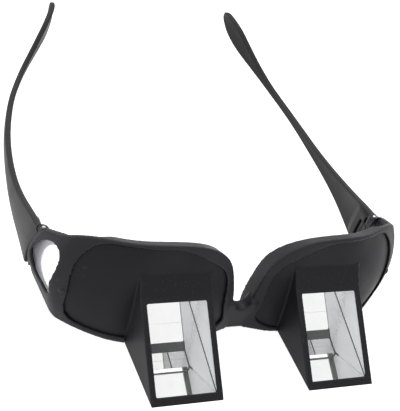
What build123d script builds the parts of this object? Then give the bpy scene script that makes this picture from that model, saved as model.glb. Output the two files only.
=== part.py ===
from build123d import *
import os
from math import atan2, cos, sin, tan

# Prism bed glasses, lying on the brow edge as they do on a table.
# X runs from the wearer's left to the right, Y from the front to the temple tips,
# and Z from the wearer's forehead towards the cheeks. Sizes are in millimetres.

# Driving sizes of the front
front_half_width = 70.0
front_sweep = 17.0
frame_height = 42.0
wing_length = 40.0
rim_depth = 5.5
nose_wall_extra = 3.0
wing_wall = 2.4
wing_start_gap = 2.5
wing_spare = 5.0
corner_radius = 8.0
overrun = 90.0
seat_gap = 0.06

# Plan line of the brow edge, from the middle of the nose to the outer corner
plan_shares = (
    (0.0, 0.27),
    (0.153, 0.118),
    (0.25, 0.045),
    (0.457, 0.032),
    (0.657, 0.062),
    (0.793, 0.288),
)
corner_share = (0.998, 0.976)
corner_lead_share = (-0.043, -0.18)
wing_end_share = (1.027, 0.975)
nose_depth_shares = (1.0, 0.7, 0.4, 0.05, 0.0, 0.0)

# Heights of the skin's levels, how wide each is and how far it sits back
level_height_shares = (-0.048, 0.238, 0.524, 0.81, 1.095)
level_width_shares = (0.99, 1.045, 1.055, 0.995, 0.89)
level_setback_shares = (-0.012, 0.053, 0.212, 0.412, 0.647)

# Front view of the lens opening, and of the cheek edge where its slope meets the plane Y = 0
cheek_slope = 0.45
cheek_edge_shares = (
    (0.056, 0.3),
    (0.064, 0.45),
    (0.09, 0.63),
    (0.125, 0.79),
    (0.18, 0.907),
    (0.286, 1.005),
    (0.43, 1.045),
    (0.571, 1.062),
    (0.714, 1.068),
    (0.857, 1.076),
    (0.943, 1.06),
    (1.014, 1.02),
    (1.143, 0.99),
)
lens_opening_shares = (
    (0.17, 0.06),
    (0.45, 0.058),
    (0.84, 0.058),
    (0.948, 0.1),
    (0.975, 0.262),
    (0.975, 0.476),
    (0.945, 0.68),
    (0.865, 0.835),
    (0.76, 0.895),
    (0.6, 0.915),
    (0.43, 0.888),
    (0.286, 0.795),
    (0.171, 0.662),
    (0.139, 0.548),
    (0.114, 0.238),
)
lens_lip = 0.8
lens_recess = 1.0
lens_plate = 2.0
cheek_wall = 1.5

# Bridge over the nose
bridge_front = 4.4
bridge_depth = 5.0
bridge_half_width = 6.0
bridge_top = 13.4
notch_radius = 3.4

# Joint line between wing and temple: heights along it and how far it steps forwards
seam_bottom_z = 3.2
seam_middle_z = 15.0
seam_top_z = 28.6
seam_middle_step = 2.0
seam_top_step = 6.8
seam_gap = 0.3

# Side window in the wing: outline from its lower front corner, in shares of its length and height
side_window_front_gap = 2.6
side_window_rear_gap = 3.8
side_window_bottom = 8.0
side_window_height = 19.6
side_window_shares = (
    (0.04, 0.03),
    (0.4, 0.0),
    (0.8, 0.0),
    (0.99, 0.14),
    (1.0, 0.38),
    (0.82, 0.69),
    (0.49, 0.95),
    (0.17, 0.99),
    (0.02, 0.8),
    (-0.01, 0.42),
    (-0.035, 0.2),
)
side_window_recess = 1.2
side_window_thickness = 1.1
side_window_lip = 0.7

# Hinge between wing and temple, inwards and forwards from the wing's rear corner
hinge_inset = 2.925
hinge_setback = 2.4
knuckle_radius = 2.1
knuckle_bottom = 7.0
knuckle_top = 24.0
temple_knuckle_bottom = 12.7
temple_knuckle_height = 5.6
knuckle_gap = 0.2
knuckle_clearance = 0.2
lug_length = 2.6
lug_outer = 0.1
screw_radius = 0.7
screw_clearance = 0.05
screw_head_radius = 1.35
screw_head_height = 0.8
screw_tip = 0.5
screw_slot = 0.35

# Hood in front of each eye, seen from the side, and the window in its sloping face
hood_centre = 32.0
hood_half_width = 14.3
hood_tip = 29.0
hood_top_y = 1.5
hood_top_z = 22.4
hood_root_y = 7.6
hood_root_z = 29.2
hood_floor = 1.0
hood_lip = 0.6
brow_notch = 5.0
hood_wall = 2.3
window_side_lip = 0.1
window_bottom_border = 3.3
window_top_border = 1.9

# Prism: square at its rear lower corner, sloping in front, and cut level at its top
prism_end_gap = 4.24
prism_top_gap = 0.5
prism_edge = 0.25
retainer_thickness = 1.2
retainer_rail = 1.6

# Temple: places along it as shares of its length, inset, tip height, height and thickness
temple_length = 113.0
temple_step = 0.925
temple_inset = 32.0
temple_tip_height = 45.3
temple_height = 21.0
temple_thickness = 2.8
temple_crown_share = 0.065
temple_corner_share = 0.28
temple_station_shares = (
    (-0.085, 0.052, 0.375, 1.41, 1.0),
    (-0.041, 0.029, 0.344, 1.219, 1.0),
    (0.002, 0.0, 0.305, 1.0, 1.0),
    (0.065, -0.003, 0.305, 0.838, 1.0),
    (0.127, 0.0, 0.307, 0.695, 1.0),
    (0.198, 0.003, 0.309, 0.543, 0.98),
    (0.287, 0.022, 0.318, 0.39, 0.95),
    (0.375, 0.059, 0.336, 0.281, 0.93),
    (0.464, 0.109, 0.364, 0.21, 0.92),
    (0.552, 0.178, 0.408, 0.162, 0.92),
    (0.623, 0.253, 0.453, 0.138, 0.92),
    (0.694, 0.35, 0.508, 0.133, 0.92),
    (0.747, 0.45, 0.567, 0.143, 0.93),
    (0.791, 0.55, 0.634, 0.181, 0.95),
    (0.835, 0.669, 0.72, 0.257, 0.95),
    (0.871, 0.766, 0.795, 0.338, 0.95),
    (0.906, 0.859, 0.87, 0.395, 0.95),
    (0.933, 0.919, 0.918, 0.386, 0.92),
    (0.959, 0.969, 0.96, 0.329, 0.88),
    (0.981, 0.997, 0.989, 0.238, 0.8),
    (0.995, 1.009, 0.998, 0.143, 0.65),
    (1.002, 1.012, 1.0, 0.067, 0.4),
)

# Pad on the temple's inner face behind the hinge, with the slot across it
pad_rise = 3.4
pad_start = 2.9
pad_flat = 5.5
pad_length = 13.0
pad_bottom = 8.0
pad_top = 21.0
slot_start = 1.0
slot_width = 1.7
slot_depth = 1.6
slot_bottom = 9.5
slot_top = 18.0

# Places worked out from the sizes above
origin_y = bridge_front + bridge_depth / 2
block_reach = wing_length + wing_spare
wing_start = front_sweep + wing_start_gap
seam_bottom = (wing_length, seam_bottom_z)
seam_middle = (wing_length - seam_middle_step, seam_middle_z)
seam_top = (wing_length - seam_top_step, seam_top_z)
side_window_front = front_sweep + side_window_front_gap
side_window_length = wing_length - side_window_rear_gap - side_window_front
wing_outer_x = wing_end_share[0] * front_half_width * level_width_shares[1]
hinge_x = wing_outer_x - hinge_inset
hinge_y = wing_length - hinge_setback
temple_outer_x = wing_outer_x - temple_step
pad_inner_x = temple_outer_x - pad_rise
hood_angle = atan2(hood_top_z, hood_top_y + hood_tip)
face_length = (hood_top_z**2 + (hood_top_y + hood_tip) ** 2) ** 0.5
prism_half_width = hood_half_width - hood_wall
prism_length = face_length - prism_end_gap
prism_height = hood_top_z - prism_top_gap
window_half_width = prism_half_width - window_side_lip
temple_knuckle_top = temple_knuckle_bottom + temple_knuckle_height


def level_height(level):
    """Height of one level of the skin above the brow edge."""
    return level_height_shares[level] * frame_height


def scaled(shares, width, height, corner=(0.0, 0.0)):
    """Points of an outline from its shares of a width and a height."""
    return [(corner[0] + x * width, corner[1] + y * height) for x, y in shares]


def plan_line(level, depth, nose_extra=0.0):
    """Plan line of the skin at one level, moved inwards by a depth.

    Returns the front points, the direction at the corner, the corner arc's end and the wing's end.
    """
    width = front_half_width * level_width_shares[level]
    setback = front_sweep * level_setback_shares[level]
    front = [Vector(x * width, y * front_sweep + setback) for x, y in plan_shares]
    corner = Vector(corner_share[0] * width, corner_share[1] * front_sweep + setback)
    lead = corner + Vector(corner_lead_share[0] * width, corner_lead_share[1] * front_sweep)
    wing_end = Vector(wing_end_share[0] * width, wing_end_share[1] * wing_length)
    path = front + [lead]
    moved = []
    for index, point in enumerate(front):
        along = (path[index + 1] - path[index - 1]).normalized() if index else Vector(1, 0)
        inwards = Vector(-along.Y, along.X)
        moved.append(point + inwards * (depth + nose_extra * nose_depth_shares[index]))
    arriving = (corner - lead).normalized()
    leaving = (wing_end - corner).normalized()
    turn = atan2(arriving.X * leaving.Y - arriving.Y * leaving.X, arriving.dot(leaving))
    arriving_inwards = Vector(-arriving.Y, arriving.X)
    leaving_inwards = Vector(-leaving.Y, leaving.X)
    mitre = (arriving_inwards + leaving_inwards) / (1 + arriving_inwards.dot(leaving_inwards))
    inner_corner = corner + mitre * depth
    setoff = (corner_radius - depth) * tan(turn / 2)
    arc_start = inner_corner - arriving * setoff
    arc_end = inner_corner + leaving * setoff
    return moved + [arc_start], arriving, arc_end, wing_end + leaving_inwards * depth


def front_block(depth, nose_extra=0.0):
    """Everything behind the right half of the front's skin, moved inwards by a depth."""
    with BuildPart() as block:
        for level in range(len(level_height_shares)):
            points, arriving, arc_end, wing_end = plan_line(level, depth, nose_extra)
            with BuildSketch(Plane.XY.offset(level_height(level))):
                with BuildLine():
                    Spline(points, tangents=(Vector(1, 0), arriving))
                    TangentArc(points[-1], arc_end, tangent=arriving)
                    Line(arc_end, wing_end)
                    Polyline(
                        wing_end, (wing_end.X, block_reach), (0, block_reach), points[0]
                    )
                make_face()
        loft()
    return block.part


def grown(outline, margin):
    """An anticlockwise outline with each point moved outwards by a margin."""
    moved = []
    for index, point in enumerate(outline):
        following = outline[(index + 1) % len(outline)]
        along = (Vector(following) - Vector(outline[index - 1])).normalized()
        moved.append((point[0] + along.Y * margin, point[1] - along.X * margin))
    return moved


def region_behind(depth, plane, outline, both=False):
    """Space behind the skin at a depth, inside a closed outline."""
    half = len(outline) // 2
    start_way = Vector(outline[1]) - Vector(outline[-1])
    half_way = Vector(outline[half + 1]) - Vector(outline[half - 1])
    with BuildPart() as region:
        add(front_block(depth))
        with BuildSketch(plane):
            with BuildLine():
                Spline(outline[: half + 1], tangents=(start_way, half_way))
                Spline(outline[half:] + outline[:1], tangents=(half_way, start_way))
            make_face()
        extrude(amount=overrun, both=both, mode=Mode.INTERSECT)
    return region.part


def front_view(drop):
    """Space under the sloping cheek face, which is lowered by a drop."""
    edge = scaled(cheek_edge_shares, front_half_width, frame_height, (0, -drop))
    with BuildPart() as space:
        with BuildSketch(Plane.XZ):
            with BuildLine():
                Spline(edge)
                Polyline(edge[-1], (edge[-1][0], -overrun), (edge[0][0], -overrun), edge[0])
            make_face()
        extrude(amount=overrun, dir=(0, 1, -cheek_slope))
    return space.part


def lens_region(depth, margin, drop):
    """Space behind the skin inside the lens opening, a drop below the cheek face."""
    outline = scaled(lens_opening_shares, front_half_width, frame_height)
    with BuildPart() as region:
        add(region_behind(depth, Plane.XZ, grown(outline, margin), both=True))
        add(front_view(drop), mode=Mode.INTERSECT)
    return region.part


def side_window_region(depth, margin):
    """Space behind the wing's skin inside the side window's outline."""
    corner = (side_window_front, side_window_bottom)
    outline = scaled(side_window_shares, side_window_length, side_window_height, corner)
    return region_behind(depth, Plane.YZ, grown(outline, margin))


def hinge_bar(radius, bottom, top):
    """Round bar on the right-hand hinge axis between two heights."""
    with BuildPart() as bar:
        with BuildSketch(Plane.XY.offset(bottom)):
            with Locations((hinge_x, hinge_y)):
                Circle(radius)
        extrude(amount=top - bottom)
    return bar.part


def upright_bar(points, bottom, top):
    """Bar between two heights whose plan is a polygon of (x, y) points."""
    with BuildPart() as bar:
        with BuildSketch(Plane.XY.offset(bottom)):
            Polygon(*points, align=None)
        extrude(amount=top - bottom)
    return bar.part


def lug_bar(clearance):
    """Block inside the wing that carries the knuckles, grown by a clearance."""
    inner = hinge_x - knuckle_radius - clearance
    outer = hinge_x + lug_outer + clearance
    front = hinge_y - lug_length - clearance
    return upright_bar(
        ((inner, front), (outer, front), (outer, hinge_y), (inner, hinge_y)),
        knuckle_bottom - clearance,
        knuckle_top + clearance,
    )


def eye_bar(points, half_width):
    """Bar across one eye whose side view is a polygon of (y, z) points."""
    with BuildPart() as bar:
        with BuildSketch(Plane.YZ.offset(hood_centre)):
            Polygon(*points, align=None)
        extrude(amount=half_width, both=True)
    return bar.part


def prism_corners(clearance):
    """Front, rear, rear upper and front upper corner of the prism's side view.

    The prism is grown by a clearance. Its sloping face lies a lip's thickness under the hood's.
    """
    floor = hood_floor + seat_gap
    sunk = (hood_lip + seat_gap) / cos(hood_angle)
    rear_y = (floor + sunk) / tan(hood_angle) - hood_tip + prism_length + clearance
    low = floor - clearance
    high = floor + prism_height + clearance
    grown_sunk = sunk - clearance / cos(hood_angle)
    low_y = (low + grown_sunk) / tan(hood_angle) - hood_tip
    high_y = (high + grown_sunk) / tan(hood_angle) - hood_tip
    return (low_y, low), (rear_y, low), (rear_y, high), (high_y, high)


def behind_prism(lower, upper, near, far, rise=0.0):
    """Corners of the strip behind the prism's rear face, between two distances from it.

    The strip can be raised, which leaves a rail below it.
    """
    return (
        (lower[0] + near, lower[1] + rise),
        (lower[0] + far, lower[1] + rise),
        (upper[0] + far, upper[1] + rise),
        (upper[0] + near, upper[1] + rise),
    )


def write(name, piece):
    """Write a finished piece, measured from the middle of the bridge's lower face."""
    placed = piece.moved(Location((0, -origin_y, 0)))
    placed.label = name
    export_step(placed, "parts/" + name + ".step")


def write_pair(name, piece):
    """Write a right-hand piece and its mirror image for the left."""
    write("right_" + name, piece)
    with BuildPart() as twin:
        mirror(piece, about=Plane.YZ)
    write("left_" + name, twin.part)


os.makedirs("parts", exist_ok=True)

# Side view that trims the frame, and the hollow inside the wing
with BuildPart() as side_view:
    with BuildSketch(Plane.YZ):
        with BuildLine():
            Polyline((-hood_tip, 0), (front_sweep, 0), seam_bottom)
            ThreePointArc(seam_bottom, seam_middle, seam_top)
            Polyline(seam_top, (seam_top[0], overrun), (-hood_tip, overrun), (-hood_tip, 0))
        make_face()
    extrude(amount=overrun)

with BuildPart() as wing_hollow:
    add(front_block(wing_wall))
    split(bisect_by=Plane.XZ.offset(-wing_start), keep=Keep.BOTTOM)

# Front frame: rims, wings, hinge knuckles and bridge in one moulding
hood_reach = hood_half_width + seat_gap
knuckle_space_bottom = temple_knuckle_bottom - knuckle_gap
knuckle_space_top = temple_knuckle_top + knuckle_gap

with BuildPart() as half_frame:
    add(front_block(0))
    add(front_block(rim_depth, nose_wall_extra), mode=Mode.SUBTRACT)
    add(wing_hollow.part, mode=Mode.SUBTRACT)
    add(front_view(0), mode=Mode.INTERSECT)
    add(lens_region(0, 0, cheek_wall), mode=Mode.SUBTRACT)
    add(lens_region(lens_recess, lens_lip, cheek_wall), mode=Mode.SUBTRACT)
    add(side_window_region(0, 0), mode=Mode.SUBTRACT)
    add(side_window_region(side_window_recess, side_window_lip), mode=Mode.SUBTRACT)
    add(lug_bar(0))
    add(side_view.part, mode=Mode.INTERSECT)
    add(hinge_bar(knuckle_radius, knuckle_bottom, knuckle_top))
    add(
        hinge_bar(knuckle_radius + knuckle_clearance, knuckle_space_bottom, knuckle_space_top),
        mode=Mode.SUBTRACT,
    )
    add(hinge_bar(screw_radius + screw_clearance, 0, frame_height), mode=Mode.SUBTRACT)
    add(hinge_bar(screw_head_radius + screw_clearance, 0, knuckle_bottom), mode=Mode.SUBTRACT)
    add(
        eye_bar(
            (
                (-hood_tip, -brow_notch),
                (front_sweep, -brow_notch),
                (front_sweep, brow_notch),
                (-hood_tip, brow_notch),
            ),
            hood_reach,
        ),
        mode=Mode.SUBTRACT,
    )

with BuildPart() as front_frame:
    add(half_frame.part)
    mirror(about=Plane.YZ)
    with BuildSketch(Plane.XZ.offset(-bridge_front)):
        Rectangle(2 * bridge_half_width, bridge_top, align=(Align.CENTER, Align.MIN))
        with Locations((0, bridge_top)):
            Circle(notch_radius, mode=Mode.SUBTRACT)
    extrude(amount=-bridge_depth)

write("front_frame", front_frame.part)

# Lens panel: the opaque plate that fills a rim, moulded in one with the prism's hood
pocket = prism_corners(seat_gap)
pocket_rear, pocket_rear_top = pocket[1:3]
pocket_half_width = prism_half_width + seat_gap
tunnel = behind_prism(pocket_rear, pocket_rear_top, 0, hood_tip)
hood_back_y = pocket_rear[0] + retainer_thickness + seat_gap
hood_profile = (
    (-hood_tip, 0),
    (hood_top_y, hood_top_z),
    (hood_root_y, hood_root_z),
    (hood_back_y, pocket_rear_top[1] + hood_wall),
    (hood_back_y, 0),
)
window_plane = Plane(
    origin=(hood_centre, -hood_tip, 0),
    x_dir=(1, 0, 0),
    z_dir=(0, -sin(hood_angle), cos(hood_angle)),
)

with BuildPart() as lens_panel:
    add(lens_region(lens_recess + seat_gap, lens_lip - seat_gap, cheek_wall + seat_gap))
    add(front_block(lens_recess + lens_plate), mode=Mode.SUBTRACT)
    add(eye_bar(hood_profile, hood_half_width))
    add(eye_bar(pocket, pocket_half_width), mode=Mode.SUBTRACT)
    add(eye_bar(tunnel, pocket_half_width), mode=Mode.SUBTRACT)
    with BuildSketch(window_plane):
        with Locations((0, window_bottom_border)):
            Rectangle(
                2 * window_half_width,
                face_length - window_bottom_border - window_top_border,
                align=(Align.CENTER, Align.MIN),
            )
    extrude(amount=-2 * hood_lip, mode=Mode.SUBTRACT)

write_pair("lens_panel", lens_panel.part)

# Prism and the U-shaped clip that keeps it in the hood, open at its top
prism_outline = prism_corners(0)
prism_rear, prism_rear_top = prism_outline[1:3]

with BuildPart() as glass_prism:
    add(eye_bar(prism_outline, prism_half_width))
    chamfer(glass_prism.edges().filter_by(Axis.X), length=prism_edge)

write_pair("prism", glass_prism.part)

clip = behind_prism(prism_rear, prism_rear_top, seat_gap, retainer_thickness)
clip_mouth = behind_prism(
    prism_rear, prism_rear_top, -retainer_thickness, 2 * retainer_thickness, retainer_rail
)

with BuildPart() as prism_retainer:
    add(eye_bar(clip, prism_half_width))
    add(eye_bar(clip_mouth, prism_half_width - retainer_rail), mode=Mode.SUBTRACT)

write_pair("prism_retainer", prism_retainer.part)

# Side window, seated from inside the wing
with BuildPart() as side_window:
    add(side_window_region(side_window_recess + seat_gap, side_window_lip - seat_gap))
    add(front_block(side_window_recess + side_window_thickness), mode=Mode.SUBTRACT)
    add(hinge_bar(knuckle_radius + seat_gap, 0, frame_height), mode=Mode.SUBTRACT)
    add(lug_bar(seat_gap), mode=Mode.SUBTRACT)

write_pair("side_window", side_window.part)


def temple_section(share):
    """One cross-section of the temple: crowned outside, hollow inside, with rounded ends."""
    place, inset, lift, height_share, thickness_share = share
    height = height_share * temple_height
    thickness = thickness_share * temple_thickness
    centre_x = temple_outer_x - inset * temple_inset
    centre_z = lift * temple_tip_height
    sagitta = height * temple_crown_share
    plane = Plane(
        origin=(centre_x, hinge_y + place * temple_length, centre_z),
        x_dir=(1, 0, 0),
        z_dir=(0, 1, 0),
    )
    with BuildSketch(plane) as section:
        with BuildLine():
            outer = ThreePointArc(
                (thickness / 2 - sagitta, -height / 2),
                (thickness / 2, 0),
                (thickness / 2 - sagitta, height / 2),
            )
            inner = ThreePointArc(
                (-thickness / 2 - sagitta, height / 2),
                (-thickness / 2, 0),
                (-thickness / 2 - sagitta, -height / 2),
            )
            Line(outer @ 1, inner @ 0)
            Line(inner @ 1, outer @ 0)
        make_face()
        fillet(section.vertices(), temple_corner_share * min(thickness, height))
    return section.sketch


# Temple: crowned strip with its hinge knuckle and the slotted pad on its inner face
pad_y = hinge_y + pad_start
pad_plan = (
    (pad_inner_x, pad_y),
    (pad_inner_x, pad_y + pad_flat),
    (temple_outer_x, pad_y + pad_length),
    (temple_outer_x, pad_y),
)
slot_y = pad_y + slot_start
slot_plan = (
    (pad_inner_x - slot_depth, slot_y),
    (pad_inner_x + slot_depth, slot_y),
    (pad_inner_x + slot_depth, slot_y + slot_width),
    (pad_inner_x - slot_depth, slot_y + slot_width),
)

with BuildPart() as temple_front_cut:
    with BuildSketch(Plane.YZ):
        with BuildLine():
            Polyline((0, -overrun), (seam_bottom[0], -overrun), seam_bottom)
            ThreePointArc(seam_bottom, seam_middle, seam_top)
            Polyline(seam_top, (seam_top[0], overrun), (0, overrun), (0, -overrun))
        make_face()
        offset(amount=seam_gap, kind=Kind.INTERSECTION)
    extrude(amount=overrun)

with BuildPart() as temple:
    for share in temple_station_shares:
        add(temple_section(share))
    loft()
    add(upright_bar(pad_plan, pad_bottom, pad_top))
    add(temple_front_cut.part, mode=Mode.SUBTRACT)
    add(
        hinge_bar(
            knuckle_radius + knuckle_clearance,
            knuckle_bottom - knuckle_gap,
            knuckle_top + knuckle_gap,
        ),
        mode=Mode.SUBTRACT,
    )
    add(hinge_bar(knuckle_radius, temple_knuckle_bottom, temple_knuckle_top))
    add(
        upright_bar(
            (
                (hinge_x, hinge_y),
                (temple_outer_x, hinge_y),
                (temple_outer_x, pad_y + pad_flat),
                (pad_inner_x, pad_y + pad_flat),
                (pad_inner_x, pad_y),
            ),
            temple_knuckle_bottom,
            temple_knuckle_top,
        )
    )
    add(upright_bar(slot_plan, slot_bottom, slot_top), mode=Mode.SUBTRACT)
    add(hinge_bar(screw_radius + screw_clearance, 0, frame_height), mode=Mode.SUBTRACT)

write_pair("temple", temple.part)

# Hinge screw with a slotted head below the lower knuckle
with BuildPart() as hinge_screw:
    add(hinge_bar(screw_radius, knuckle_bottom, knuckle_top + screw_tip))
    add(hinge_bar(screw_head_radius, knuckle_bottom - screw_head_height, knuckle_bottom))
    chamfer(hinge_screw.edges().sort_by(Axis.Z)[-1], length=screw_radius / 2)
    with BuildSketch(Plane.XY.offset(knuckle_bottom - screw_head_height)):
        with Locations((hinge_x, hinge_y)):
            Rectangle(4 * screw_head_radius, screw_slot)
    extrude(amount=screw_head_height / 2, mode=Mode.SUBTRACT)

write_pair("hinge_screw", hinge_screw.part)
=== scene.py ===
"""Looks of the prism bed glasses: matt plastic, glass prisms, clear side panes, steel pins and a studio."""

import logging
import math
from dataclasses import dataclass
from enum import Enum

import bmesh
import bpy
import numpy as np
from mathutils import Matrix, Vector


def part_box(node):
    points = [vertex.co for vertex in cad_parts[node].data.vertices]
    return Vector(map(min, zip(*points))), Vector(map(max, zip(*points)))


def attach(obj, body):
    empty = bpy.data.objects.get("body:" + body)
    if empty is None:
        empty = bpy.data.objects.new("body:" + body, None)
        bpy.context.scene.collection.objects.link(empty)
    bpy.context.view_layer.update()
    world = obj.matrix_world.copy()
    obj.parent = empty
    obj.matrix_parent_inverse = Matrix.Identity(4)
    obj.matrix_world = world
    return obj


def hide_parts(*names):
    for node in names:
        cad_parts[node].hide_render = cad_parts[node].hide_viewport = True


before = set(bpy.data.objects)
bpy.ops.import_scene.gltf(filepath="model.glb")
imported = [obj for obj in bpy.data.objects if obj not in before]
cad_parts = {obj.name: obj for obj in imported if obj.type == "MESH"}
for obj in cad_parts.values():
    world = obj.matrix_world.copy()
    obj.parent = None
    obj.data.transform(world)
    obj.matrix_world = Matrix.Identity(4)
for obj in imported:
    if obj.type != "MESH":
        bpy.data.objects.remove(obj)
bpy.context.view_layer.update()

MM = 0.001
LOG = logging.getLogger("glasses")


class Side(Enum):
    """The two mirror-image halves of the glasses, as the wearer names them."""

    LEFT = "left"
    RIGHT = "right"

    @property
    def sign(self) -> int:
        """Minus one for the wearer's left, one for the right."""
        return 1 if self is Side.RIGHT else -1

    def node(self, piece: str) -> bpy.types.Object:
        """CAD node of this side that carries a piece's name."""
        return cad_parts[f"{self.value}_{piece}"]


class Slot(Enum):
    """Names of material slots of the record; no piece built here uses them."""

    FRAME = "frame"
    PRISM = "prism"
    SCREW = "screw"


class Wiring:
    """Adds nodes to a shader tree and joins their sockets."""

    def __init__(self, tree: bpy.types.NodeTree) -> None:
        """Keeps the tree and starts at its left edge.

        Args:
            tree: the tree of a material, a world or a node group.
        """
        self.tree = tree
        self.column = 0

    def add(self, kind: str, **settings: object) -> bpy.types.Node:
        """Adds one node.

        Args:
            kind: Blender's name of the node type.
            settings: properties of the node, such as operation or data_type.

        Returns:
            The node.
        """
        node = self.tree.nodes.new(kind)
        node.location = (self.column, 0)
        self.column += 180
        for name, value in settings.items():
            setattr(node, name, value)
        return node

    def join(self, source: object, target: object) -> None:
        """Joins an output socket to an input socket, or writes a plain value into the input.

        Args:
            source: an output socket or a value.
            target: an input socket.
        """
        if isinstance(source, bpy.types.NodeSocket):
            self.tree.links.new(source, target)
        else:
            target.default_value = source

    def sums(self, operation: str, first: object, second: object = 0.0) -> bpy.types.NodeSocket:
        """Adds a Math node.

        Args:
            operation: Blender's name of the operation.
            first: socket or number.
            second: socket or number.

        Returns:
            The node's output.
        """
        node = self.add("ShaderNodeMath", operation=operation)
        self.join(first, node.inputs[0])
        self.join(second, node.inputs[1])
        return node.outputs[0]

    def spread(
        self, value: object, low: float, high: float, start: float, end: float
    ) -> bpy.types.NodeSocket:
        """Maps a value from low..high to start..end, clamped at both ends.

        Args:
            value: socket with the value.
            low: value that gives start.
            high: value that gives end.
            start: result at low.
            end: result at high.

        Returns:
            The mapped value's socket.
        """
        node = self.add("ShaderNodeMapRange", interpolation_type="SMOOTHSTEP")
        for socket, given in zip(node.inputs, (value, low, high, start, end)):
            self.join(given, socket)
        return node.outputs[0]

    def tint(self, share: object, first: object, second: object) -> bpy.types.NodeSocket:
        """Mixes two colours.

        Args:
            share: how much of the second colour, socket or number.
            first: colour or socket.
            second: colour or socket.

        Returns:
            The mixed colour's socket.
        """
        node = self.add("ShaderNodeMix", data_type="RGBA")
        self.join(share, node.inputs["Factor"])
        self.join(first, node.inputs[6])
        self.join(second, node.inputs[7])
        return node.outputs[2]

    def noise(self, vector: object, scale: object, detail: float) -> bpy.types.NodeSocket:
        """Adds a Noise Texture.

        Args:
            vector: socket with the place.
            scale: size of the pattern, in features a metre, socket or number.
            detail: number of finer layers.

        Returns:
            The noise's value from 0 to 1.
        """
        node = self.add("ShaderNodeTexNoise")
        self.join(vector, node.inputs["Vector"])
        self.join(scale, node.inputs["Scale"])
        node.inputs["Detail"].default_value = detail
        return node.outputs["Fac"]


def colour(red: float, green: float, blue: float) -> tuple[float, float, float, float]:
    """Opaque colour for a socket."""
    return (red, green, blue, 1.0)


def new_group(name: str, inputs: dict[str, float], outputs: tuple[str, ...]) -> Wiring:
    """Starts a shader node group whose inputs are a place and some numbers.

    Args:
        name: the group's name.
        inputs: default value of each number.
        outputs: names of the values that it puts out.

    Returns:
        The wiring of the new group.
    """
    group = bpy.data.node_groups.new(name, "ShaderNodeTree")
    group.interface.new_socket("Place", in_out="INPUT", socket_type="NodeSocketVector")
    for socket, value in inputs.items():
        made = group.interface.new_socket(socket, in_out="INPUT", socket_type="NodeSocketFloat")
        made.default_value = value
    for socket in outputs:
        group.interface.new_socket(socket, in_out="OUTPUT", socket_type="NodeSocketFloat")
    return Wiring(group)


def mould_grain_group() -> bpy.types.NodeTree:
    """Fine spark-eroded grain of a moulded skin, with faint larger patches.

    Returns:
        A group that puts out the grain's height and the patches, both from 0 to 1.
    """
    wiring = new_group("mould_grain", {"Grain Scale": 2500.0, "Patch Scale": 60.0}, ("Height", "Patch"))
    given = wiring.add("NodeGroupInput")
    fine = wiring.noise(given.outputs["Place"], given.outputs["Grain Scale"], 3.0)
    cells = wiring.add("ShaderNodeTexVoronoi", feature="SMOOTH_F1")
    wiring.join(given.outputs["Place"], cells.inputs["Vector"])
    wiring.join(given.outputs["Grain Scale"], cells.inputs["Scale"])
    fine_part = wiring.sums("MULTIPLY", fine, 0.6)
    cell_part = wiring.sums("MULTIPLY", cells.outputs["Distance"], 0.4)
    mixed = wiring.sums("ADD", fine_part, cell_part)
    patch = wiring.noise(given.outputs["Place"], given.outputs["Patch Scale"], 2.0)
    put = wiring.add("NodeGroupOutput")
    wiring.join(mixed, put.inputs["Height"])
    wiring.join(wiring.spread(patch, 0.35, 0.65, 0.0, 1.0), put.inputs["Patch"])
    return wiring.tree


def handled_edge_group() -> bpy.types.NodeTree:
    """Edges that hands have polished: convex bends of the surface, broken up by noise.

    Returns:
        A group that puts out a mask from 0 to 1.
    """
    wiring = new_group("handled_edge", {"Break Scale": 350.0, "Amount": 1.0}, ("Mask",))
    given = wiring.add("NodeGroupInput")
    shape = wiring.add("ShaderNodeNewGeometry")
    bend = wiring.spread(shape.outputs["Pointiness"], 0.505, 0.56, 0.0, 1.0)
    breaks = wiring.noise(given.outputs["Place"], given.outputs["Break Scale"], 3.0)
    broken = wiring.spread(breaks, 0.3, 0.7, 0.35, 1.0)
    mask = wiring.sums("MULTIPLY", wiring.sums("MULTIPLY", bend, broken), given.outputs["Amount"])
    put = wiring.add("NodeGroupOutput")
    wiring.join(mask, put.inputs["Mask"])
    return wiring.tree


def settled_dust_group() -> bpy.types.NodeTree:
    """Specks of dust that lie on faces which look up.

    Returns:
        A group that puts out a mask from 0 to 1.
    """
    wiring = new_group("settled_dust", {"Speck Scale": 1800.0, "Amount": 1.0}, ("Mask",))
    given = wiring.add("NodeGroupInput")
    shape = wiring.add("ShaderNodeNewGeometry")
    axes = wiring.add("ShaderNodeSeparateXYZ")
    wiring.join(shape.outputs["Normal"], axes.inputs[0])
    upward = wiring.spread(axes.outputs["Z"], 0.3, 0.95, 0.0, 1.0)
    scatter = wiring.noise(given.outputs["Place"], given.outputs["Speck Scale"], 1.0)
    specks = wiring.spread(scatter, 0.66, 0.74, 0.0, 1.0)
    mask = wiring.sums("MULTIPLY", wiring.sums("MULTIPLY", upward, specks), given.outputs["Amount"])
    put = wiring.add("NodeGroupOutput")
    wiring.join(mask, put.inputs["Mask"])
    return wiring.tree


class SharedEffects:
    """The node groups that several finishes use, each built once."""

    def __init__(self) -> None:
        """Builds the groups."""
        self.grain = mould_grain_group()
        self.edge = handled_edge_group()
        self.dust = settled_dust_group()

    @staticmethod
    def place(wiring: Wiring, group: bpy.types.NodeTree, where: object, **values: float) -> bpy.types.Node:
        """Puts a group into a material.

        Args:
            wiring: the material's wiring.
            group: one of the shared groups.
            where: socket with the place.
            values: the group's numbers, with underscores for spaces.

        Returns:
            The group's node.
        """
        node = wiring.add("ShaderNodeGroup", node_tree=group)
        wiring.join(where, node.inputs["Place"])
        for name, value in values.items():
            node.inputs[name.replace("_", " ")].default_value = value
        return node


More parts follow.
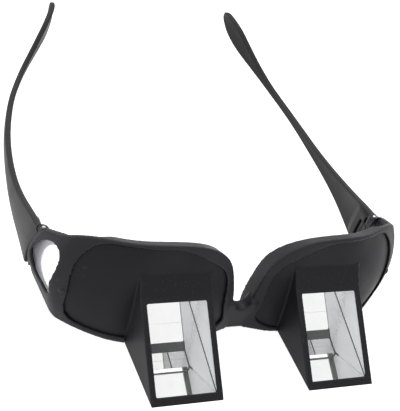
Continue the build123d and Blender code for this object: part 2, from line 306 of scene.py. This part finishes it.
def new_material(name: str) -> tuple[bpy.types.Material, Wiring, bpy.types.Node]:
    """Starts a material with a Principled shader.

    Args:
        name: the material's name.

    Returns:
        The material, its wiring and its shader.
    """
    material = bpy.data.materials.new(name)
    material.use_nodes = True
    shader = material.node_tree.nodes["Principled BSDF"]
    return material, Wiring(material.node_tree), shader


def add_bump(
    wiring: Wiring, height: object, distance: float, strength: float, shader: bpy.types.Node
) -> None:
    """Feeds a height through a Bump node into the shader's normal.

    Args:
        wiring: the material's wiring.
        height: socket with the height, from 0 to 1.
        distance: depth of the relief in metres.
        strength: share of the relief that shows.
        shader: the material's shader.
    """
    bump = wiring.add("ShaderNodeBump")
    wiring.join(height, bump.inputs["Height"])
    bump.inputs["Distance"].default_value = distance
    bump.inputs["Strength"].default_value = strength
    wiring.join(bump.outputs["Normal"], shader.inputs["Normal"])


@dataclass(frozen=True)
class MattPlastic:
    """Soft-touch moulded plastic: charcoal, fine grain, faint patches, edges a little polished by hands."""

    name: str
    base: tuple[float, float, float]
    edge: tuple[float, float, float]
    roughness: float = 0.5
    specular: float = 0.3
    sheen: float = 0.06
    grain_scale: float = 2500.0
    grain_depth: float = 0.03 * MM

    def material(self, effects: SharedEffects) -> bpy.types.Material:
        """Builds the material.

        Args:
            effects: the shared node groups.

        Returns:
            The material.
        """
        material, wiring, shader = new_material(self.name)
        where = wiring.add("ShaderNodeTexCoord").outputs["Object"]
        grain = effects.place(wiring, effects.grain, where, Grain_Scale=self.grain_scale)
        edge = effects.place(wiring, effects.edge, where, Amount=0.7)
        dust = effects.place(wiring, effects.dust, where, Amount=0.12)
        patchy = wiring.tint(
            wiring.sums("MULTIPLY", grain.outputs["Patch"], 0.35),
            colour(*self.base),
            colour(*(1.35 * share for share in self.base)),
        )
        worn = wiring.tint(edge.outputs["Mask"], patchy, colour(*self.edge))
        dusty = wiring.tint(dust.outputs["Mask"], worn, colour(0.35, 0.34, 0.32))
        wiring.join(dusty, shader.inputs["Base Color"])
        smoothest = self.roughness - 0.04
        roughest = self.roughness + 0.05
        patch_rough = wiring.spread(grain.outputs["Patch"], 0.0, 1.0, smoothest, roughest)
        rough = wiring.sums("SUBTRACT", patch_rough, wiring.sums("MULTIPLY", edge.outputs["Mask"], 0.12))
        wiring.join(rough, shader.inputs["Roughness"])
        shader.inputs["Specular IOR Level"].default_value = self.specular
        shader.inputs["Sheen Weight"].default_value = self.sheen
        shader.inputs["Sheen Roughness"].default_value = 0.4
        add_bump(wiring, grain.outputs["Height"], self.grain_depth, 0.5, shader)
        return material


@dataclass(frozen=True)
class PolishedGlass:
    """Optical faces of the prism: clear, with the faint haze of a wiped surface."""

    name: str = "prism_polished_faces"
    tint: tuple[float, float, float] = (0.995, 0.998, 0.997)
    index: float = 1.7

    def material(self) -> bpy.types.Material:
        """Builds the material.

        Returns:
            The material.
        """
        material, wiring, shader = new_material(self.name)
        where = wiring.add("ShaderNodeTexCoord").outputs["Object"]
        haze = wiring.spread(wiring.noise(where, 160.0, 4.0), 0.55, 0.8, 0.0, 0.02)
        wiring.join(haze, shader.inputs["Roughness"])
        shader.inputs["Base Color"].default_value = colour(*self.tint)
        shader.inputs["Transmission Weight"].default_value = 1.0
        shader.inputs["IOR"].default_value = self.index
        return material


@dataclass(frozen=True)
class GroundGlass:
    """Ends of the prism: ground flat and left matt, with the faint marks of grinding.

    The ground skin scatters the light inside the glass, which a small even glow of painted light stands for.
    """

    name: str = "prism_ground_ends"
    base: tuple[float, float, float] = (0.88, 0.89, 0.9)
    mark: tuple[float, float, float] = (0.78, 0.79, 0.81)
    # Strength of the painted light that the ends give off.
    glow: float = 0.25

    def material(self) -> bpy.types.Material:
        """Builds the material.

        Returns:
            The material.
        """
        material, wiring, shader = new_material(self.name)
        where = wiring.add("ShaderNodeTexCoord").outputs["Object"]
        stretch = wiring.add("ShaderNodeMapping")
        stretch.inputs["Scale"].default_value = (1.0, 0.15, 1.0)
        wiring.join(where, stretch.inputs["Vector"])
        marks = wiring.noise(stretch.outputs["Vector"], 1500.0, 3.0)
        wiring.join(
            wiring.tint(wiring.spread(marks, 0.4, 0.7, 0.0, 1.0), colour(*self.base), colour(*self.mark)),
            shader.inputs["Base Color"],
        )
        wiring.join(wiring.spread(marks, 0.3, 0.7, 0.6, 0.8), shader.inputs["Roughness"])
        # Painted light: the ground ends glow evenly, though they are no lamp.
        shader.inputs["Emission Color"].default_value = colour(*self.base)
        shader.inputs["Emission Strength"].default_value = self.glow
        add_bump(wiring, marks, 0.02 * MM, 0.4, shader)
        return material


@dataclass(frozen=True)
class MirrorCoat:
    """Silvered lower face of the prism, seen through the glass."""

    name: str = "prism_mirror_coat"
    base: tuple[float, float, float] = (0.97, 0.97, 0.965)
    cloudy: tuple[float, float, float] = (0.93, 0.935, 0.935)

    def material(self) -> bpy.types.Material:
        """Builds the material.

        Returns:
            The material.
        """
        material, wiring, shader = new_material(self.name)
        where = wiring.add("ShaderNodeTexCoord").outputs["Object"]
        cloud = wiring.noise(where, 90.0, 3.0)
        wiring.join(
            wiring.tint(wiring.spread(cloud, 0.4, 0.7, 0.0, 1.0), colour(*self.base), colour(*self.cloudy)),
            shader.inputs["Base Color"],
        )
        wiring.join(wiring.spread(cloud, 0.4, 0.7, 0.01, 0.04), shader.inputs["Roughness"])
        shader.inputs["Metallic"].default_value = 1.0
        return material


@dataclass(frozen=True)
class TurnedSteel:
    """Bright pins of the hinges, with fine turning rings along them."""

    name: str = "hinge_pin_steel"
    base: tuple[float, float, float] = (0.72, 0.72, 0.74)
    smudged: tuple[float, float, float] = (0.55, 0.55, 0.57)

    def material(self) -> bpy.types.Material:
        """Builds the material.

        Returns:
            The material.
        """
        material, wiring, shader = new_material(self.name)
        where = wiring.add("ShaderNodeTexCoord").outputs["Object"]
        stretch = wiring.add("ShaderNodeMapping")
        stretch.inputs["Scale"].default_value = (0.05, 0.05, 1.0)
        wiring.join(where, stretch.inputs["Vector"])
        rings = wiring.noise(stretch.outputs["Vector"], 6000.0, 2.0)
        smudge = wiring.noise(where, 900.0, 3.0)
        wiring.join(
            wiring.tint(wiring.spread(smudge, 0.4, 0.7, 0.0, 1.0), colour(*self.base), colour(*self.smudged)),
            shader.inputs["Base Color"],
        )
        wiring.join(wiring.spread(smudge, 0.3, 0.7, 0.2, 0.34), shader.inputs["Roughness"])
        shader.inputs["Metallic"].default_value = 1.0
        add_bump(wiring, rings, 0.01 * MM, 0.4, shader)
        return material


@dataclass(frozen=True)
class ClearPane:
    """Clear moulded side window; its rear and lower band is matt, and the band's grey is painted shade."""

    name: str = "side_pane_clear"
    tint: tuple[float, float, float] = (0.97, 0.975, 0.98)
    # Grey of the rear and lower band: painted shade for the shaded hollow seen through the pane.
    painted_shade_border: tuple[float, float, float] = (0.5, 0.5, 0.54)
    clear_centre: tuple[float, float] = (0.22, 0.55)
    clear_radius: tuple[float, float] = (0.4, 0.42)
    index: float = 1.45

    def material(self, low: Vector, high: Vector) -> bpy.types.Material:
        """Builds the material. The clear part is an ellipse set forwards and up in the pane's box; outside it
        the pane is matt and painted grey as shade.

        Args:
            low: the pane's lowest corner.
            high: the pane's highest corner.

        Returns:
            The material.
        """
        material, wiring, shader = new_material(self.name)
        where = wiring.add("ShaderNodeTexCoord").outputs["Object"]
        axes = wiring.add("ShaderNodeSeparateXYZ")
        wiring.join(where, axes.inputs[0])
        size = high - low
        along = wiring.sums("SUBTRACT", axes.outputs["Y"], low.y + self.clear_centre[0] * size.y)
        upward = wiring.sums("SUBTRACT", axes.outputs["Z"], low.z + self.clear_centre[1] * size.z)
        along = wiring.sums("DIVIDE", along, self.clear_radius[0] * size.y)
        upward = wiring.sums("DIVIDE", upward, self.clear_radius[1] * size.z)
        radius = wiring.sums(
            "SQRT",
            wiring.sums(
                "ADD", wiring.sums("MULTIPLY", along, along), wiring.sums("MULTIPLY", upward, upward)
            ),
        )
        # Mask of the band outside the ellipse: real matt roughness, and painted shade in the base colour.
        matt = wiring.spread(radius, 0.97, 1.03, 0.0, 1.0)
        # Painted shade: the band's base colour turns grey.
        shade = wiring.tint(matt, colour(*self.tint), colour(*self.painted_shade_border))
        wiring.join(shade, shader.inputs["Base Color"])
        wiring.join(wiring.spread(matt, 0.0, 1.0, 0.02, 0.6), shader.inputs["Roughness"])
        add_bump(wiring, wiring.noise(where, 2500.0, 2.0), 0.004 * MM, 0.2, shader)
        shader.inputs["Transmission Weight"].default_value = 1.0
        shader.inputs["IOR"].default_value = self.index
        return material


def grid_mesh(name: str, grid: np.ndarray) -> bpy.types.Object:
    """Makes a closed mesh from a grid of points whose columns run round and whose end rows are one point.

    Neighbouring rows and columns are joined by quads, the last column is joined to the first, doubled
    points are merged and the faces are turned outwards.

    Args:
        name: the object's name.
        grid: points in metres, shaped rows by columns by 3.

    Returns:
        The new object at the origin.
    """
    rows, columns = grid.shape[:2]
    index = np.arange(rows * columns).reshape(rows, columns)
    index = np.concatenate([index, index[:, :1]], axis=1)
    around = [index[:-1, :-1], index[:-1, 1:], index[1:, 1:], index[1:, :-1]]
    quads = np.stack(around, axis=-1).reshape(-1, 4)
    mesh = bpy.data.meshes.new(name)
    mesh.from_pydata(grid.reshape(-1, 3).tolist(), [], quads.tolist())
    work = bmesh.new()
    work.from_mesh(mesh)
    bmesh.ops.remove_doubles(work, verts=work.verts, dist=0.0005 * MM)
    bmesh.ops.recalc_face_normals(work, faces=work.faces)
    work.to_mesh(mesh)
    work.free()
    piece = bpy.data.objects.new(name, mesh)
    bpy.context.scene.collection.objects.link(piece)
    return piece


def face_normals(piece: bpy.types.Object) -> np.ndarray:
    """Normals of a mesh's faces, one row each."""
    normals = np.zeros(len(piece.data.polygons) * 3)
    piece.data.polygons.foreach_get("normal", normals)
    return normals.reshape(-1, 3)


def set_smooth(piece: bpy.types.Object, smooth: np.ndarray) -> None:
    """Shades the faces of a mesh smooth where the array is true."""
    piece.data.polygons.foreach_set("use_smooth", smooth)


def dress(piece: bpy.types.Object, *materials: bpy.types.Material) -> None:
    """Gives a mesh its materials, one slot each, in place of those it has."""
    piece.data.materials.clear()
    for material in materials:
        piece.data.materials.append(material)


def soften(piece: bpy.types.Object, voxel: float, passes: int) -> None:
    """Rounds the edges of a moulding with live modifiers: one even skin, then averaged neighbours.

    Args:
        piece: CAD node or mesh.
        voxel: size of the even skin's faces in metres.
        passes: times that each point moves to its neighbours' mean.
    """
    weld = piece.modifiers.new("joined_faces", "WELD")
    weld.merge_threshold = 0.002 * MM
    skin = piece.modifiers.new("even_skin", "REMESH")
    skin.mode = "VOXEL"
    skin.voxel_size = voxel
    skin.use_smooth_shade = True
    smooth = piece.modifiers.new("moulded_edges", "SMOOTH")
    smooth.factor = 0.5
    smooth.iterations = passes


def report(piece: bpy.types.Object) -> None:
    """Logs a finished piece's name and its number of triangles."""
    shown = piece.evaluated_get(bpy.context.evaluated_depsgraph_get())
    mesh = shown.to_mesh()
    mesh.calc_loop_triangles()
    LOG.info("%s: %d triangles", piece.name, len(mesh.loop_triangles))
    shown.to_mesh_clear()


@dataclass
class FrontMoulding:
    """Front frame with a small dome on each outer corner."""

    plastic: bpy.types.Material
    voxel: float = 0.42 * MM
    passes: int = 8
    stud_radius: float = 1.4 * MM
    stud_height: float = 0.55 * MM
    stud_sink: float = 0.25 * MM
    stud_seek: tuple[float, float] = (8.1 * MM, 15.0 * MM)
    stud_start: float = 90.0 * MM
    stud_rings: int = 10
    stud_columns: int = 32

    def build(self) -> None:
        """Dresses the front frame and sets a stud on each outer corner."""
        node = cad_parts["front_frame"]
        soften(node, self.voxel, self.passes)
        dress(node, self.plastic)
        report(node)
        for side in Side:
            self.build_stud(side)

    def build_stud(self, side: Side) -> None:
        """Builds a small dome that stands on the skin of one outer corner.

        Its foot is where a level line from outside, across the glasses, meets the skin. A ring's radius
        falls with the cosine of an angle while its height rises with the sine, along the skin's normal.

        Args:
            side: the half that carries it.
        """
        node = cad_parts["front_frame"]
        start = Vector((side.sign * self.stud_start, *self.stud_seek))
        _, foot, normal, _ = node.ray_cast(start, Vector((-side.sign, 0.0, 0.0)))
        level = normal.cross(Vector((0.0, 0.0, 1.0))).normalized()
        axes = np.array([level, normal.cross(level), normal])
        lean = np.linspace(0, math.pi / 2, self.stud_rings)
        radius = np.concatenate([[0.0], self.stud_radius * np.cos(lean)])
        rise = (self.stud_height + self.stud_sink) * np.sin(lean) - self.stud_sink
        height = np.concatenate([[-self.stud_sink], rise])
        angle = np.linspace(0, 2 * math.pi, self.stud_columns, endpoint=False)
        local = np.stack(
            [
                radius[:, None] * np.cos(angle),
                radius[:, None] * np.sin(angle),
                np.broadcast_to(height[:, None], (len(height), len(angle))),
            ],
            axis=-1,
        )
        piece = grid_mesh(f"{side.value}_corner_stud", np.array(foot) + local @ axes)
        set_smooth(piece, np.abs(face_normals(piece) @ np.array(normal)) < 0.999)
        dress(piece, self.plastic)
        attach(piece, "front")
        report(piece)


@dataclass
class LensPanel:
    """Opaque plate with the prism's hood, and the U-shaped clip behind the prism."""

    side: Side
    plastic: bpy.types.Material
    clip_plastic: bpy.types.Material
    voxel: float = 0.34 * MM
    passes: int = 3
    clip_voxel: float = 0.2 * MM

    def build(self) -> None:
        """Dresses the panel and the clip."""
        panel = self.side.node("lens_panel")
        soften(panel, self.voxel, self.passes)
        dress(panel, self.plastic)
        report(panel)
        clip = self.side.node("prism_retainer")
        soften(clip, self.clip_voxel, self.passes)
        dress(clip, self.clip_plastic)
        report(clip)


@dataclass
class GlassPrism:
    """Prism that is square at its rear, slopes in front and is cut level at its top, all edges rounded.

    Its side view has four corners. The surface is the path of a small ball rolled round that outline,
    drawn in by the ball's radius, and over both ends.
    """

    side: Side
    polished: bpy.types.Material
    ground: bpy.types.Material
    coat: bpy.types.Material
    slope: float = math.radians(36.3)
    cad_edge: float = 0.25 * MM
    edge: float = 0.05 * MM
    play: float = 0.01 * MM
    arc_steps: int = 3
    end_steps: int = 3

    def corners(self) -> np.ndarray:
        """Works out the side view's corners from the CAD prism's box and the slope of its front face.

        The box starts at the end of the sharp front edge's chamfer, so the corner lies one chamfer's run
        further forwards.

        Returns:
            Front, rear, rear upper and front upper corner, one row each, as (y, z).
        """
        low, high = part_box(f"{self.side.value}_prism")
        front_y = low.y - self.cad_edge * math.cos(self.slope)
        upper_y = front_y + (high.z - low.z) / math.tan(self.slope)
        return np.array([(front_y, low.z), (high.y, low.z), (high.y, high.z), (upper_y, high.z)])

    def outline(self) -> tuple[np.ndarray, np.ndarray]:
        """Draws the corners in by the edge radius and finds the directions that the ball points in.

        A corner moves against the sum of its two edges' outward directions, divided by one plus their
        dot product, which keeps it at the same distance from both edges.

        Returns:
            Centres and unit directions round the outline, each with one row a point, as (y, z).
        """
        corners = self.corners()
        along = np.roll(corners, -1, axis=0) - corners
        lengths = np.linalg.norm(along, axis=1)
        leaving = np.stack([along[:, 1], -along[:, 0]], axis=1) / lengths[:, None]
        arriving = np.roll(leaving, 1, axis=0)
        opening = 1 + (arriving * leaving).sum(axis=1)
        drawn_in = corners - (self.edge + self.play) * (arriving + leaving) / opening[:, None]
        angles = np.arctan2(leaving[:, 1], leaving[:, 0])
        before = np.roll(angles, 1)
        turn = np.mod(angles - before, 2 * math.pi)
        share = np.linspace(0, 1, self.arc_steps + 1)
        swept = before[:, None] + turn[:, None] * share[None, :]
        directions = np.stack([np.cos(swept), np.sin(swept)], axis=-1).reshape(-1, 2)
        centres = np.repeat(drawn_in, self.arc_steps + 1, axis=0)
        return centres, directions

    def build(self) -> None:
        """Builds the prism as a grid: columns run round the side view, rows from end to end."""
        low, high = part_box(f"{self.side.value}_prism")
        centres, directions = self.outline()
        middle = centres.mean(axis=0)
        lean = np.linspace(0, math.pi / 2, self.end_steps + 1)
        reach = np.concatenate([np.sin(lean), np.sin(lean)[::-1]]) * self.edge
        ends = np.concatenate(
            [
                low.x + self.play + self.edge * (1 - np.cos(lean)),
                (high.x - self.play - self.edge * (1 - np.cos(lean)))[::-1],
            ]
        )
        rings = centres[None, :, :] + directions[None, :, :] * reach[:, None, None]
        caps = np.broadcast_to(middle, rings[:1].shape)
        flat = np.concatenate([caps, rings, caps])
        across = np.concatenate([ends[:1], ends, ends[-1:]])
        grid = np.concatenate([np.broadcast_to(across[:, None, None], flat[..., :1].shape), flat], axis=-1)
        piece = grid_mesh(f"{self.side.value}_glass_prism", grid)
        dress(piece, self.polished, self.ground, self.coat)
        normals = face_normals(piece)
        slots = np.where(np.abs(normals[:, 0]) > 0.6, 1, np.where(normals[:, 2] < -0.9, 2, 0))
        piece.data.polygons.foreach_set("material_index", slots.astype(np.int32))
        set_smooth(piece, np.zeros(len(slots), dtype=bool))
        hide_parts(f"{self.side.value}_prism")
        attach(piece, "front")
        report(piece)


@dataclass
class SidePane:
    """Window in the wing."""

    side: Side
    finish: ClearPane
    voxel: float = 0.2 * MM
    passes: int = 2

    def build(self) -> None:
        """Dresses the pane."""
        node = self.side.node("side_window")
        soften(node, self.voxel, self.passes)
        dress(node, self.finish.material(*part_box(f"{self.side.value}_side_window")))
        report(node)


@dataclass
class Arm:
    """Temple and the steel pin that it turns on."""

    side: Side
    plastic: bpy.types.Material
    steel: bpy.types.Material
    voxel: float = 0.26 * MM
    passes: int = 3
    columns: int = 48
    dome: float = 0.3 * MM
    shoulder: float = 0.15 * MM
    slot_depth: float = 0.4 * MM
    slot_width: float = 0.45 * MM
    pin_radius: float = 0.7 * MM
    head_height: float = 0.8 * MM

    def build(self) -> None:
        """Dresses the temple and builds the pin."""
        node = self.side.node("temple")
        soften(node, self.voxel, self.passes)
        dress(node, self.plastic)
        report(node)
        self.build_pin()

    def build_pin(self) -> None:
        """Builds the pin as a turned surface whose slotted head is at the bottom.

        The profile gives radius and height from the middle of the head, up its rim, along the pin and over
        its domed tip. Points of the head's face that lie within half a slot's width of the middle line are
        raised by the slot's depth.
        """
        low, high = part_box(f"{self.side.value}_hinge_screw")
        head_radius = (high.x - low.x) / 2
        centre = (low + high) / 2
        rim = self.shoulder
        tip = high.z - self.dome
        head_top = low.z + self.head_height
        face = np.linspace(0, head_radius - rim, 12)
        lean = np.linspace(0, math.pi / 2, 5)[1:]
        over = np.linspace(0, math.pi / 2, 9)
        radius = np.concatenate(
            [
                face,
                head_radius - rim + rim * np.sin(lean),
                [head_radius, head_radius - rim / 2, self.pin_radius, self.pin_radius],
                self.pin_radius * np.cos(over),
            ]
        )
        height = np.concatenate(
            [
                np.full_like(face, low.z),
                low.z + rim * (1 - np.cos(lean)),
                [head_top - rim / 2, head_top, head_top, tip],
                tip + self.dome * np.sin(over),
            ]
        )
        angle = np.linspace(0, 2 * math.pi, self.columns, endpoint=False)
        x = centre.x + radius[:, None] * np.cos(angle)
        y = centre.y + radius[:, None] * np.sin(angle)
        z = np.broadcast_to(height[:, None], x.shape).copy()
        in_slot = (np.abs(y - centre.y) < self.slot_width / 2) & (z < low.z + rim)
        z = np.where(in_slot, low.z + self.slot_depth, z)
        piece = grid_mesh(f"{self.side.value}_hinge_pin", np.stack([x, y, z], axis=-1))
        normals = face_normals(piece)
        set_smooth(piece, np.abs(normals[:, 2]) < 0.95)
        dress(piece, self.steel)
        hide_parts(f"{self.side.value}_hinge_screw")
        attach(piece, "front")
        report(piece)


@dataclass
class Studio:
    """White floor and surround, soft lamps and the camera."""

    camera_place: tuple[float, float, float] = (-0.2207158, -0.2623738, 0.3072972)
    yaw: float = math.radians(34.834)
    pitch: float = math.radians(37.459)
    roll: float = math.radians(21.541)
    image_width: float = 400.0
    image_height: float = 411.0
    focal_pixels: float = 1200.0
    centre_pixel: tuple[float, float] = (189.34, 204.12)
    sensor: float = 36.0
    floor_half: float = 3.0
    ambient: float = 0.45
    floor_glow: float = 0.75

    def build(self) -> None:
        """Builds the camera, the surround, the floor and the lamps."""
        self.build_camera()
        self.build_world()
        self.build_floor()
        self.add_lamp("overhead_lamp", (0.0, 0.15, 0.9), (0.0, 0.02, 0.0), 0.9, 4.0)
        self.add_lamp("left_lamp", (-0.9, 0.1, 0.35), (0.0, 0.03, 0.02), 0.5, 1.5)

    def build_camera(self) -> None:
        """Sets the camera from its heading, dip and tilt and from its focal length in pixels."""
        ahead = Vector(
            (
                math.sin(self.yaw) * math.cos(self.pitch),
                math.cos(self.yaw) * math.cos(self.pitch),
                -math.sin(self.pitch),
            )
        )
        level = Vector((math.cos(self.yaw), -math.sin(self.yaw), 0.0))
        upright = level.cross(ahead)
        across = level * math.cos(self.roll) + upright * math.sin(self.roll)
        upwards = upright * math.cos(self.roll) - level * math.sin(self.roll)
        turned = Matrix((across, upwards, -ahead)).transposed().to_4x4()
        data = bpy.data.cameras.new("photo_camera")
        longest = max(self.image_width, self.image_height)
        data.sensor_width = self.sensor
        data.lens = self.focal_pixels * self.sensor / longest
        data.shift_x = (self.image_width / 2 - self.centre_pixel[0]) / longest
        data.shift_y = (self.centre_pixel[1] - self.image_height / 2) / longest
        data.clip_start = 0.01
        data.clip_end = 20.0
        camera = bpy.data.objects.new("photo_camera", data)
        camera.matrix_world = Matrix.Translation(Vector(self.camera_place)) @ turned
        bpy.context.scene.collection.objects.link(camera)
        bpy.context.scene.camera = camera

    def seen_share(self, wiring: Wiring) -> bpy.types.NodeSocket:
        """One for rays that show the surround itself: from the camera, in gloss and through glass.

        Args:
            wiring: wiring of the world or the floor's material.

        Returns:
            The share's socket.
        """
        path = wiring.add("ShaderNodeLightPath")
        direct = wiring.sums("MAXIMUM", path.outputs["Is Camera Ray"], path.outputs["Is Glossy Ray"])
        return wiring.sums("MAXIMUM", direct, path.outputs["Is Transmission Ray"])

    def build_world(self) -> None:
        """White for rays that show it, and a softer grey for what it lights."""
        world = bpy.data.worlds.new("studio_surround")
        bpy.context.scene.world = world
        world.use_nodes = True
        wiring = Wiring(world.node_tree)
        back = world.node_tree.nodes["Background"]
        strength = wiring.spread(self.seen_share(wiring), 0.0, 1.0, self.ambient, 1.0)
        back.inputs["Color"].default_value = colour(1.0, 1.0, 1.0)
        wiring.join(strength, back.inputs["Strength"])

    def build_floor(self) -> None:
        """Pale floor that the brow edge lies on, bright where it is seen and still shaded by the object."""
        half = self.floor_half
        mesh = bpy.data.meshes.new("studio_floor")
        corners = [(-half, -half, 0), (half, -half, 0), (half, half, 0), (-half, half, 0)]
        mesh.from_pydata(corners, [], [(0, 1, 2, 3)])
        floor = bpy.data.objects.new("studio_floor", mesh)
        bpy.context.scene.collection.objects.link(floor)
        material, wiring, shader = new_material("studio_floor_paper")
        shader.inputs["Base Color"].default_value = colour(0.85, 0.85, 0.85)
        shader.inputs["Roughness"].default_value = 0.9
        shader.inputs["Specular IOR Level"].default_value = 0.0
        glow = wiring.sums("MULTIPLY", self.seen_share(wiring), self.floor_glow)
        shader.inputs["Emission Color"].default_value = colour(1.0, 1.0, 1.0)
        wiring.join(glow, shader.inputs["Emission Strength"])
        dress(floor, material)

    def add_lamp(
        self,
        name: str,
        place: tuple[float, float, float],
        aim: tuple[float, float, float],
        size: float,
        power: float,
    ) -> None:
        """Adds a square soft lamp.

        Args:
            name: the lamp's name.
            place: where it hangs, in metres.
            aim: the point that it faces.
            size: its side in metres.
            power: its power in watts.
        """
        data = bpy.data.lights.new(name, "AREA")
        data.size = size
        data.energy = power
        lamp = bpy.data.objects.new(name, data)
        lamp.location = place
        lamp.rotation_euler = (Vector(aim) - Vector(place)).to_track_quat("-Z", "Y").to_euler()
        bpy.context.scene.collection.objects.link(lamp)


def main() -> None:
    """Builds every sub-assembly in order and the studio round them."""
    logging.basicConfig(level=logging.INFO, format="%(message)s")
    scene = bpy.context.scene
    scene.view_settings.view_transform = "Standard"
    effects = SharedEffects()
    frame_finish = MattPlastic(
        "frame_soft_plastic", (0.013, 0.013, 0.016), (0.03, 0.03, 0.033), specular=0.25
    )
    panel_finish = MattPlastic(
        "panel_soft_plastic", (0.008, 0.008, 0.0105), (0.025, 0.025, 0.028), specular=0.2, sheen=0.04
    )
    clip_finish = MattPlastic("clip_plastic", (0.02, 0.02, 0.021), (0.03, 0.03, 0.03))
    temple_finish = MattPlastic("temple_soft_plastic", (0.018, 0.017, 0.017), (0.04, 0.038, 0.036))
    frame_plastic = frame_finish.material(effects)
    panel_plastic = panel_finish.material(effects)
    clip_plastic = clip_finish.material(effects)
    temple_plastic = temple_finish.material(effects)
    steel = TurnedSteel().material()
    glass = (PolishedGlass().material(), GroundGlass().material(), MirrorCoat().material())
    Studio().build()
    FrontMoulding(frame_plastic).build()
    for side in Side:
        LensPanel(side, panel_plastic, clip_plastic).build()
        GlassPrism(side, *glass).build()
        SidePane(side, ClearPane(f"{side.value}_side_pane_clear")).build()
        Arm(side, temple_plastic, steel).build()


if __name__ == "__main__":
    main()
